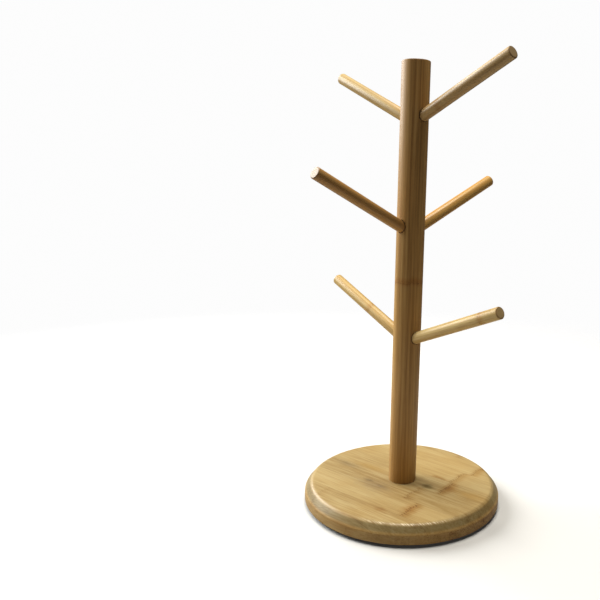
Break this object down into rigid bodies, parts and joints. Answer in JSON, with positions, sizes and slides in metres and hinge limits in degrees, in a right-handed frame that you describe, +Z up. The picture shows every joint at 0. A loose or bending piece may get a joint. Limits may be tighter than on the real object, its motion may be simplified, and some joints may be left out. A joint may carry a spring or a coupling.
{
  "type": "mug tree",
  "caption": "Free-standing bamboo mug tree: a round bevelled base carries an upright dowel post with opposed, upward-sloping pegs to hang mugs by their handles.",
  "frame": {"origin": "on the surface that the mug tree stands on, under the middle of the base", "axes": "+Z up along the post; +X along the first peg of the upper and lower pairs; +Y along the first peg of the middle pair"},
  "size_m": [0.1802, 0.1764, 0.33],
  "materials": {
    "bamboo_board": "laminated bamboo board, clear satin lacquer",
    "bamboo_post": "bamboo dowel, clear satin lacquer, browner",
    "bamboo_peg": "thin bamboo dowel, clear satin lacquer, paler",
    "zinc_steel": "bright zinc plate",
    "black_rubber": "matt black foam rubber"
  },
  "bodies": {
    "root": {"base_disc": "bamboo_board", "post": "bamboo_post", "post_screw": "zinc_steel", "upper_peg_1": "bamboo_peg", "upper_peg_2": "bamboo_peg", "middle_peg_1": "bamboo_peg", "middle_peg_2": "bamboo_peg", "lower_peg_1": "bamboo_peg", "lower_peg_2": "bamboo_peg", "foot_pad_1": "black_rubber", "foot_pad_2": "black_rubber", "foot_pad_3": "black_rubber", "foot_pad_4": "black_rubber"}
  },
  "joints": []
}
